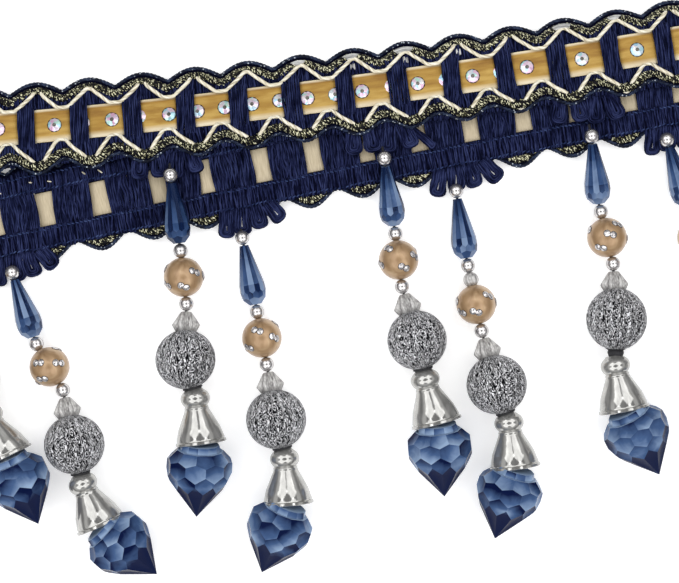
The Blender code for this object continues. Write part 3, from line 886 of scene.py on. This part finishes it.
def stone_shape(radius, height):
    """Points of a cut stone."""
    rings = []
    for n, (wide, high, below) in enumerate(STONE_RINGS):
        a = TAU * (np.arange(STONE_SIDES) + 0.5 * (n % 2)) / STONE_SIDES
        rings.append(columns(wide * radius * np.cos(a), wide * radius * np.sin(a), high * height + below))
    return np.concatenate(rings)


def stones_piece(name, shapes, looks):
    """Stones as one object: dark seats below the girdle, bevels, and tables."""
    i = np.arange(STONE_SIDES)
    j = (i + 1) % STONE_SIDES
    tris = []
    for n in range(len(STONE_RINGS) - 1):
        a, b = n * STONE_SIDES, (n + 1) * STONE_SIDES
        pair = columns(a + i, a + j, b + i), columns(b + i, a + j, b + j)
        if n % 2:
            pair = columns(a + i, a + j, b + j), columns(a + i, b + j, b + i)
        tris.append(np.stack(pair, axis=1).reshape(-1, 3))
    tris = np.concatenate(tris)
    caps = np.stack([i[::-1], b + i])
    starts = len(STONE_RINGS) * STONE_SIDES * np.arange(len(shapes))[:, None, None]
    on_bevel = np.arange(len(tris)) >= 2 * STONE_SIDES
    indices = np.concatenate([np.tile(on_bevel, len(shapes)), np.tile([0, 2], len(shapes))])
    faces = [(starts + tris).reshape(-1, 3), (starts + caps).reshape(-1, STONE_SIDES)]
    return make_object(name, np.concatenate(shapes), faces, looks, flat=True, indices=indices)


STONE_PITCH = 6.92
STONE_S = s_at(20.9)
# The stones stand further apart toward the upper run's cut end: from where, and by what share.
SPREAD_S, STONE_SPREAD = s_at(-28.0), 0.036


def ribbon_stones():
    """Evenly set, so that they drift against the bars and some lie half under one."""
    shapes = []
    first = ceil((START_S + 4.5 - STONE_S) / STONE_PITCH)
    for j in range(first, ceil((END_S - 2.5 - STONE_S) / STONE_PITCH)):
        s = STONE_S + j * STONE_PITCH + stray(0.08)
        s -= STONE_SPREAD * max(0.0, SPREAD_S - s)
        tilt = (0.12 if abs(from_bar(s)) < 3.2 else 0.02) * np.sign(from_bar(s))
        shape = stone_shape(1.7, 0.75) @ np.array(Matrix.Rotation(rng.uniform(0, 6), 3, "Z")).T
        base = float(ribbon_level(s)) + RIBBON_THICK / 2 + 0.07
        shape[:, 2] += base + tilt * shape[:, 0]
        shape[:, :2] += (s, stray(0.12))
        shapes.append(place(shape))
    return keep(stones_piece("ribbon_stones", shapes, STONE_LOOKS), "rhinestone")


# ---- loop tufts

PETAL_ROOT = 9.6
# Petals: where one starts along the band, its lean in degrees, how far out it ends, and half its width.
LOWER_PETALS = ((-3.9, -12, 16.1, 2.1), (-0.3, -4, 15.8, 2.3), (3.3, 7, 15.3, 2.3), (6.6, 27, 14.8, 2.3))
UPPER_PETALS = ((-6.9, -8, 15.0, 2.2), (-2.7, 5, 15.6, 2.4), (1.6, -4, 16.3, 2.4), (5.4, 15, 15.5, 2.2))
LONG_PETAL = (6.4, 40, 16.3, 0.75)
STRANDS = (0.3, 0.47, 0.64, 0.82, 1.0)  # a strand's share of its petal's width
LEG_SHARE = 0.3  # of a strand, straight at each end of its loop
ROUNDING = 0.75  # under 1, a loop's end is squarer than a half circle
BY_FOLD_X = 100.0  # beyond it, a pendant hangs where the upper run has risen to the fold


def tuft_piece(name, run, root_x):
    """Petals of yarn, their strands looped one inside the other round a narrow slot."""
    upper = run == "upper"
    forward = 1 if upper else -1
    middle = s_at(root_x if upper else RETURN_U - root_x)
    q = np.linspace(0, 1, 20)
    legs = np.minimum(np.minimum(q, 1 - q) / LEG_SHARE, 1.0)
    around = np.pi * np.clip((q - LEG_SHARE) / (1 - 2 * LEG_SHARE), 0, 1)
    cosine = np.cos(around)
    sideways, beyond = -np.sign(cosine) * np.abs(cosine) ** ROUNDING, np.sin(around) ** ROUNDING
    petals = UPPER_PETALS if upper else LOWER_PETALS
    if name.endswith("_e"):
        petals = (*petals, LONG_PETAL)
    paths = []
    for number, (root, lean, end, half) in enumerate(petals):
        lean = radians(lean + stray(3))
        half *= rng.uniform(0.92, 1.06)
        length = (end - PETAL_ROOT) / cos(lean) + stray(0.2)
        for layer in range(2):
            for strand in STRANDS:
                wide = half * strand * (1 - 0.1 * layer) + stray(0.04)
                reach = legs * (length - 0.75 * half - 0.15 * half * (1 - strand))
                down = reach + 0.75 * wide * beyond
                gathered = 0.15 + 0.65 * strand
                opening = gathered + (1 - gathered) * np.clip(reach / length, 0, 1) ** 2
                across = wide * sideways * opening + wandering(down, 0.1, 0.8, 1.8)
                a = root + across * cos(lean) + down * sin(lean)
                b = PETAL_ROOT + down * cos(lean) - across * sin(lean)
                flat = place(columns(middle + forward * a, -b, 0.0))
                if not upper:
                    z = 2.25 + 0.6 * smooth(b - PETAL_ROOT) - 2.1 * smooth((b - 11.6) / 4.6)
                elif root_x > BY_FOLD_X:
                    z = float(lift_at(root_x, centre_y(root_x) - PEAK_EDGE)) + 0.1 - 0.45 * (b - VALLEY_EDGE)
                else:
                    z = REST_LIFT + 0.35
                z = z + 0.22 * (number % 2) + 0.42 * layer + stray(0.05)
                paths.append(columns(flat[:, 0], flat[:, 1], np.maximum(z, 0.3)))
    points, faces, uv = tubes(paths, 0.29, 7)
    return make_object(name, points, faces, navy_yarn, uv)


# ---- beads

# name, run, x and y of its first bead, the headings of teardrop, round bead, ball, neck, bell and drop in degrees,
# and what else is strung in.
PENDANTS = (
    ("a", "upper", -89.1, 0.5, -3.4, -2.6, -3.6, 21.0, 19.0, 16.0, ""),
    ("b", "lower", -78.5, -20.1, 11.5, 23.5, 6.0, 5.0, 17.0, 41.0, ""),
    ("c", "upper", -36.0, -1.0, 0.4, -0.8, -7.3, 7.0, 0.5, -11.0, ""),
    ("d", "lower", -20.3, -18.5, 4.4, 3.6, 3.2, 4.9, -2.5, -28.0, ""),
    ("e", "upper", 17.3, -3.3, 1.6, 0.0, 8.4, 5.0, 8.0, -1.0, ""),
    ("f", "lower", 34.2, -13.4, 1.9, 4.5, 8.1, 11.0, 0.8, -22.5, "bead"),
    ("g", "upper", 69.1, -4.1, 0.8, 5.6, -4.6, -8.1, 4.4, 22.0, "knot"),
    ("h", "lower", 88.1, -7.1, 10.4, 8.6, 7.8, 7.6, 6.9, -1.5, ""),
    ("i", "upper", 121.0, -6.4, 2.0, -1.5, 5.5, 3.0, -4.0, 8.0, ""),
)

# Outlines of turned pieces, as (z, r).
BICONE = ((-3.2, 1.2), (-2.8, 1.5), (0.0, 3.25), (0.25, 3.2), (1.9, 2.3), (2.2, 1.6))
BICONE_RIBS = (0.06, 0.09, 0.08, 0.08, 0.09, 0.06)
KNOT = ((-0.6, 1.2), (-0.5, 2.1), (-0.1, 2.55), (0.15, 2.5), (0.35, 2.0), (0.4, 1.2))
LONG_KNOT = ((-1.1, 1.0), (-0.9, 1.8), (0.0, 2.1), (0.9, 1.8), (1.1, 1.0))
BELL = (
    (-TO_RIM - 2.65, 0.9), (-TO_RIM - 2.6, 1.9),
    *((-TO_RIM - 2.6 * cos(a), NECK_R * sin(a) ** 0.8) for a in np.linspace(0.62, 2.35, 12)),
    (-TO_RIM + 2.25, 3.05), (-TO_RIM + 2.5, 3.0), (-TO_RIM + 3.0, 3.15), (-4.0, 5.25), (-1.2, 6.06),
    (-0.9, 5.98), (-0.7, 6.36), (-0.15, 6.42), (0.0, 6.3), (0.0, 5.95), (-0.2, 5.8), (-2.0, 5.2),
    (-4.2, 4.3), (-4.6, 3.0),
)

# Rings of facets: how many, turned by what part of one, which way they face (out, up), and a point (r, z) on them.
TEAR_FACETS = (
    (14, 0.0, 1.0, -0.2, 2.3, 6.0), (14, 0.0, 1.0, -0.05, 3.1, 10.2), (14, 0.5, 1.0, 0.22, 3.15, 12.0),
    (7, 0.0, 0.75, 0.66, 2.3, 13.9),
)
DROP_FACETS = (
    (10, 0.5, 0.72, -0.69, 6.6, 2.5), (10, 0.0, 1.00, -0.02, 7.8, 5.4), (10, 0.5, 0.91, 0.415, 6.95, 9.2),
    (10, 0.0, 0.79, 0.61, 2.9, 14.9),
)
COLLAR_FACETS = ((12, 0.5, 1.0, -0.25, 4.75, 0.7),)
STOCK = 60.0  # the cube that facets are cut from
FACET_RINGS = (1.0, 0.8, 0.4)  # rings of points in a facet, as shares of its outline


def heading(degrees, fall=0.0):
    a = radians(degrees)
    return Vector((sin(a), -cos(a), -fall))


def onward(point, degrees, far, z):
    """The point that far from this one in the floor's plane, at height z."""
    there = point + heading(degrees) * far
    return Vector((there.x, there.y, z))


def lathe(name, profile, sides, surface, ridges=0, ridge=0.0):
    """A body turned about local Z from (z, r) pairs; ridge is one height or one for each ring."""
    z, r = np.array(profile, float).T[:, :, None]
    angle = TAU * np.arange(sides) / sides
    r = r * (1 + np.broadcast_to(ridge, len(profile))[:, None] * np.cos(ridges * angle))
    points = columns(r * np.cos(angle), r * np.sin(angle), z).reshape(-1, 3)
    return make_object(name, points, list(ring_faces(len(profile), sides)), surface)


def sphere(radius, steps, hole):
    ends = asin(hole / radius)
    return [(-radius * cos(a), radius * sin(a)) for a in np.linspace(ends, pi - ends, steps)]


# The turned beads: outline, sides, material, slot, node, then how many ridges and how high.
TURNED = {
    "silver_bead": (sphere(SILVER_R, 19, 0.4), 32, silver, "plated_silver", None),
    "frosted_bead": (sphere(1.95, 15, 0.4), 24, frosted, "plated_silver", None),
    "satin_bead": (sphere(ROUND_R, 30, 0.5), 48, satin, "satin_bronze", "round_bead"),
    "ribbed_bicone": (BICONE, 144, frosted, "glitter_silver", None, 18, BICONE_RIBS),
    "glitter_ball": (sphere(BALL_R, 44, 1.0), 84, glitter, "glitter_silver", "ball", 12, 0.015),
    "knot": (KNOT, 24, thread, "navy_yarn", None),
    "long_knot": (LONG_KNOT, 16, thread, "navy_yarn", None),
    "plated_bell": (BELL, 56, chrome, "plated_silver", "bell"),
}
LONG_BALL = 1.05  # how much longer the ball above a long knot is


def facet_body(name, rings, bottom, top, surface, dish, tones, beat=0):
    """What rings of facets leave between two heights. dish hollows each facet; beat waves of painted tone go round
    it.
    """
    planes = [((0, 0, -1), -bottom)] + ([((0, 0, 1), top)] if top else [])
    for count, turned, out, rise, r, z in rings:
        distance = (out * r + rise * z) / hypot(out, rise)
        turns = [TAU * (i + turned) / count for i in range(count)]
        planes += [((out * cos(a), out * sin(a), rise), distance) for a in turns]
    build = bmesh.new()
    bmesh.ops.create_cube(build, size=STOCK)
    for normal, distance in planes:
        normal = Vector(normal).normalized()
        geometry = build.verts[:] + build.edges[:] + build.faces[:]
        cut = bmesh.ops.bisect_plane(
            build, geom=geometry, plane_co=normal * distance, plane_no=normal, clear_outer=True
        )
        edges = [e for e in cut["geom_cut"] if isinstance(e, bmesh.types.BMEdge)]
        if edges:
            bmesh.ops.contextual_create(build, geom=edges)
    bmesh.ops.remove_doubles(build, verts=build.verts, dist=0.01)
    bmesh.ops.recalc_face_normals(build, faces=build.faces)
    parts = []
    for face in build.faces:
        corners, normal = [np.array(v.co) for v in face.verts], np.array(face.normal)
        centre = np.mean(corners, axis=0)
        line = np.array([p for a, b in zip(corners, corners[1:] + corners[:1]) for p in (a, a + (b - a) / 2)])
        n = len(line)
        depth = dish * min(1.0, float(np.linalg.norm(line - centre, axis=1).mean()) / 2.5)
        # Painted shade: each facet takes a tone of its own, and beat makes facets lighter and darker in turn round
        # the body.
        tone = rng.uniform(*tones)
        if beat:
            tone += 0.3 * cos(beat * atan2(normal[1], normal[0]))
        # Painted shade: v grades each facet from one edge to the other along slope, by strength.
        slope = UP + np.cross(normal, UP) * stray(0.7)
        strength = rng.uniform(0.4, 1.15)
        shells = [centre + (line - centre) * f - normal * depth * (1 - f * f) for f in FACET_RINGS]
        points = np.vstack([*shells, centre - normal * depth])
        levels, low, high = points @ slope, (line @ slope).min(), (line @ slope).max()
        uv = columns(tone, 0.5 + strength * ((levels - low) / (high - low + 1e-6) - 0.5))
        quads, _ = ring_faces(len(FACET_RINGS), n)
        i = np.arange(n)
        tris = columns(2 * n + i, 2 * n + (i + 1) % n, 3 * n)
        parts.append((points, [quads, tris], [uv[quads], uv[tris]]))
    build.free()
    points, faces, uv = joined(parts)
    return make_object(name, points, faces[::2] + faces[1::2], surface, uv[::2] + uv[1::2])


def bead_stones(name, roll):
    """Pairs of small stones around the satin bead."""
    latitudes = (0.45, -0.35, 0.1, -0.6, 0.55, -0.1, -0.45, 0.3)
    shapes = []
    for n, latitude in enumerate(latitudes):
        latitude += stray(0.05)
        longitude = roll + n * TAU / len(latitudes) + stray(0.12)
        for half in (-1, 1):
            a, b = longitude + half * 0.15, latitude + half * 0.07
            normal = np.array([cos(b) * cos(a), cos(b) * sin(a), sin(b)])
            side = unit(np.cross(normal, UP))
            turned = stone_shape(0.84, 0.36) @ np.stack([side, np.cross(side, normal), normal])
            shapes.append(turned + normal * (ROUND_R - 0.02))
    return stones_piece(name, shapes, BEAD_STONE_LOOKS)


def string_on(piece, at, axis, slot, *nodes, roll=0.0):
    """Puts a body at a point, its local Z along axis, and keeps it."""
    axis = axis.normalized()
    side = axis.cross(Vector(UP)).normalized()
    turn = Matrix((side, side.cross(axis), axis)).transposed().to_4x4()
    piece.matrix_world = Matrix.Translation(at * MM) @ turn @ Matrix.Rotation(roll, 4, "Z")
    return keep(piece, slot, *nodes)


def pendant(name, run, x, y, tear, bead, ball, neck, bell, drop, extra):
    """One pendant's beads, from the band outward, lying on the floor or on the lower run."""
    first_z = TUFT_THICK + 0.3 + SILVER_R + (REST_LIFT if run == "upper" else 0.0)
    if x > BY_FOLD_X:
        first_z = BY_FOLD_Z
    # How much of the teardrop lies on the lower run, and whether that holds its end up.
    lies_on = (y - TO_TEAR - LOWER_LINE(x) + PEAK_EDGE) / TEAR_LENGTH if run == "upper" else 0.0
    held_up = float(smooth((lies_on - 0.3) / 0.6))
    fall = (first_z - TEAR_END_Z - TEAR_HELD * held_up) / (TO_TEAR + TEAR_LENGTH)
    way = heading(tear, fall)
    first = Vector((x, y, first_z))
    tear_top = first + way * TO_TEAR
    tear_end = tear_top + way * TEAR_LENGTH
    second = onward(tear_end, (tear + bead) / 2, TO_SECOND, SECOND_Z + SECOND_HELD * held_up)
    round_bead = onward(second, bead, TO_ROUND + (EXTRA_BEAD if extra == "bead" else 0.0), ROUND_R + 0.05)
    third = onward(round_bead, bead, TO_THIRD, THIRD_Z)
    bicone = onward(third, ball, TO_BICONE, BICONE_Z)
    ball_at = onward(bicone, ball, TO_BALL, BALL_R + 0.05)
    neck_at = onward(ball_at, neck, TO_NECK + (EXTRA_KNOT if extra == "knot" else 0.0), NECK_Z)
    rim_at = onward(neck_at, bell, TO_RIM, RIM_R + 0.6)
    girdle = onward(rim_at, drop, TO_GIRDLE, DROP_R + 0.1)
    point = onward(rim_at, drop, TO_POINT, POINT_Z)
    roll = rng.uniform(0, 6)

    def turned(kind, at, axis, number="", roll=0.0):
        profile, sides, surface, slot, node, *ridges = TURNED[kind]
        if kind == "glitter_ball" and extra == "knot":
            profile = [(LONG_BALL * z, r) for z, r in profile]
        body = lathe(f"{kind}_{name}{number}", profile, sides, surface, *ridges)
        return string_on(body, at, axis, slot, *([f"{node}_{name}"] if node else []), roll=roll)

    # Painted shade: teardrops that lie on the lower run take darker tones, for the dark band seen through them.
    tones = (-0.15, 0.45) if held_up else (0.15, 0.85)
    body = facet_body(f"faceted_teardrop_{name}", TEAR_FACETS, 0.0, TEAR_LENGTH, acrylic, 0.05, tones, beat=7)
    string_on(body, tear_top, way, "sapphire_acrylic", f"teardrop_{name}", roll=roll)
    for number, (at, axis) in enumerate(((first, way), (second, round_bead - second), (third, bicone - third))):
        turned("silver_bead", at, axis, number)
    if extra == "bead":
        turned("frosted_bead", second + heading(bead) * TO_EXTRA_BEAD, heading(bead))
    turned("satin_bead", round_bead, third - second)
    string_on(bead_stones(f"bead_stones_{name}", roll), round_bead, third - second, "rhinestone")
    turned("ribbed_bicone", bicone, ball_at - third)
    turned("glitter_ball", ball_at, neck_at - third, roll=roll)
    reach = (neck_at - ball_at).normalized()
    turned("knot", ball_at + reach * (BALL_R - 0.1), reach)
    if extra == "knot":
        turned("long_knot", ball_at + reach * (BALL_R + 0.9), reach)
    turned("plated_bell", rim_at, rim_at - neck_at).data.set_sharp_from_angle(angle=radians(38))

    way = (point - girdle).normalized()
    start = girdle - way * TO_GIRDLE
    body = facet_body(f"faceted_drop_{name}", DROP_FACETS, 1.4, None, crystal, 0.18, (0.18, 0.66))
    string_on(body, start, way, "sapphire_acrylic", f"crystal_drop_{name}", roll=roll)
    body = facet_body(f"drop_collar_{name}", COLLAR_FACETS, -0.1, 1.39, crystal, 0.05, (0.35, 0.95))
    string_on(body, start, way, "sapphire_acrylic", roll=roll)

    root = onward(first, tear, -3.0, first_z - 2.4)
    stops = (root, first, tear_top, tear_end, second, round_bead, third, bicone, ball_at)
    path = through([list(p) for p in stops], np.linspace(0, len(stops) - 1, 6 * (len(stops) - 1) + 1))
    points, faces, uv = tubes([path], 0.34, 7)
    keep(make_object(f"bead_thread_{name}", points, faces, thread, uv), "navy_yarn")


# ---- putting it together

cloth = margin_bodies()
on_band = [
    narrow_bar_yarns(),
    wide_bar_yarns(),
    margin_yarns("margin_face_yarns", True),
    margin_yarns("margin_reverse_yarns", False),
    chain_stitches(),
    edge_cords(),
    metallic_cords(),
    zigzag_cords(),
    backing_strip(),
    back_stitches(),
    satin_floats(),
    ribbon_piece(),
    ribbon_stones(),
]
for name, run, x, *rest in PENDANTS:
    keep(tuft_piece(f"yarn_loops_{name}", run, x), "navy_yarn", f"loop_tuft_{name}")
    pendant(name, run, x, *rest)

# ---- camera, floor and light

SENSOR, LENS = 36.0, 110.0
IMAGE_WIDTH = 169.75
CAMERA_AT = (2.2, -34.8)
CAMERA_FROM_Z = 4.0  # the height at which the picture is that wide
CAMERA_TURN = radians(-7.0)

scene = bpy.context.scene
optics = bpy.data.cameras.new("camera")
optics.lens, optics.sensor_width = LENS, SENSOR
optics.clip_start, optics.clip_end = 0.01, 20.0
camera_z = IMAGE_WIDTH / SENSOR * LENS + CAMERA_FROM_Z
scene.camera = put("camera", optics, (CAMERA_AT[0] * MM, CAMERA_AT[1] * MM, camera_z * MM), (0, 0, CAMERA_TURN))

FLOOR_HALF, FLOOR_Z = 2500.0, -0.2
paper = mottled(
    "pale_floor", 30.0, (0.3, 0.93), (0.7, 0.95), size=(1, 1, 1), Roughness=0.9, Specular_IOR_Level=0.1,
    Emission_Color=(1.0, 1.0, 1.0, 1.0), Emission_Strength=0.34,
)
corners = [(x, y, 0.0) for y in (-FLOOR_HALF, FLOOR_HALF) for x in (-FLOOR_HALF, FLOOR_HALF)]
floor = make_object("floor", corners, [np.array([(0, 1, 3, 2)])], paper, flat=True)
floor.location.z = FLOOR_Z * MM

# Four soft panels overhead, a little apart around the camera. Sizes are in metres.
PANEL_AT = ((-0.33, 0.3), (0.33, 0.3), (-0.33, -0.36), (0.33, -0.36))
PANEL_HEIGHT = 0.62
PANEL_SIZE = (0.58, 0.56)
PANEL_POWER = 2.15
for n, (x, y) in enumerate(PANEL_AT):
    data = bpy.data.lights.new(f"panel_{n}", "AREA")
    data.shape = "RECTANGLE"
    data.size, data.size_y = PANEL_SIZE
    data.energy = PANEL_POWER
    aim = Vector((-x * 0.5, -y * 0.5, -PANEL_HEIGHT)).to_track_quat("-Z", "Y").to_euler()
    put(f"panel_{n}", data, (x, y, PANEL_HEIGHT), aim)

# A studio around it: bright walls, with dark bands low down and overhead for the metal to mirror.
world = bpy.data.worlds.new("world")
scene.world = world
world.use_nodes = True
sky = Nodes(world.node_tree)
low_band, high_band, ceiling = (0.13, 0.13, 0.14), (0.16, 0.16, 0.17), (0.12, 0.12, 0.13)
up = sky.split(sky.source("Generated"))[2]
walls = sky.ramp(
    up, (0.0, 0.9), (0.03, 0.9), (0.07, low_band), (0.26, high_band), (0.38, 1.0), (0.62, 1.0), (0.72, ceiling)
)
background = world.node_tree.nodes["Background"]
sky.plug(background.inputs["Color"], walls)
background.inputs["Strength"].default_value = 0.65

view = scene.view_settings
view.view_transform, view.look, view.exposure = "Standard", "None", 0.0
